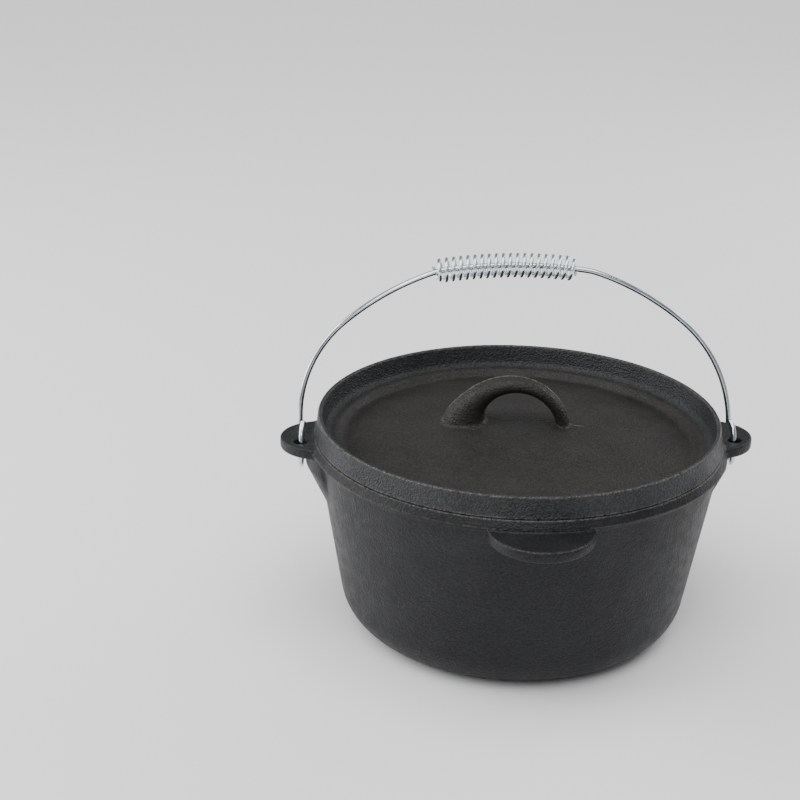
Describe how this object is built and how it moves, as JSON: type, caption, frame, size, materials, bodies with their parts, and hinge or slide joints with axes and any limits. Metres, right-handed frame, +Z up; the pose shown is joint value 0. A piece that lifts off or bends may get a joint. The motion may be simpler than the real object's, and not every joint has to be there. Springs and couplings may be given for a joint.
{
  "type": "dutch oven",
  "caption": "Cast iron camp oven: tapered round pot with side ears and a tipping tab, a rimmed lift-off lid with a cast loop, and a wire bail with a coil grip.",
  "frame": {"origin": "centre of the flat base, on the surface the pot stands on", "axes": "+Z up, +X through the two bail ears, and the tipping tab points along -Y"},
  "size_m": [0.3086, 0.2957, 0.237],
  "materials": {
    "pot_iron": "seasoned sand casting, matte",
    "lid_iron": "seasoned sand casting, matte, rim edge worn brown",
    "bail_wire": "bright zinc plated",
    "grip_wire": "bright zinc plated spring wire"
  },
  "bodies": {
    "pot": {"pot": "pot_iron"},
    "lid": {"lid": "lid_iron"},
    "bail": {"bail": "bail_wire", "bail_grip": "grip_wire"}
  },
  "joints": [
    {"name": "bail_swing", "type": "hinge", "parent": "pot", "child": "bail", "pos_m": [0, 0.0103, 0.1235], "axis": [1, 0, 0], "range_deg": [-42, 40]},
    {"name": "lid_lift", "type": "slide", "parent": "pot", "child": "lid", "axis": [0, 0, 1], "range_m": [0, 0.012]}
  ]
}
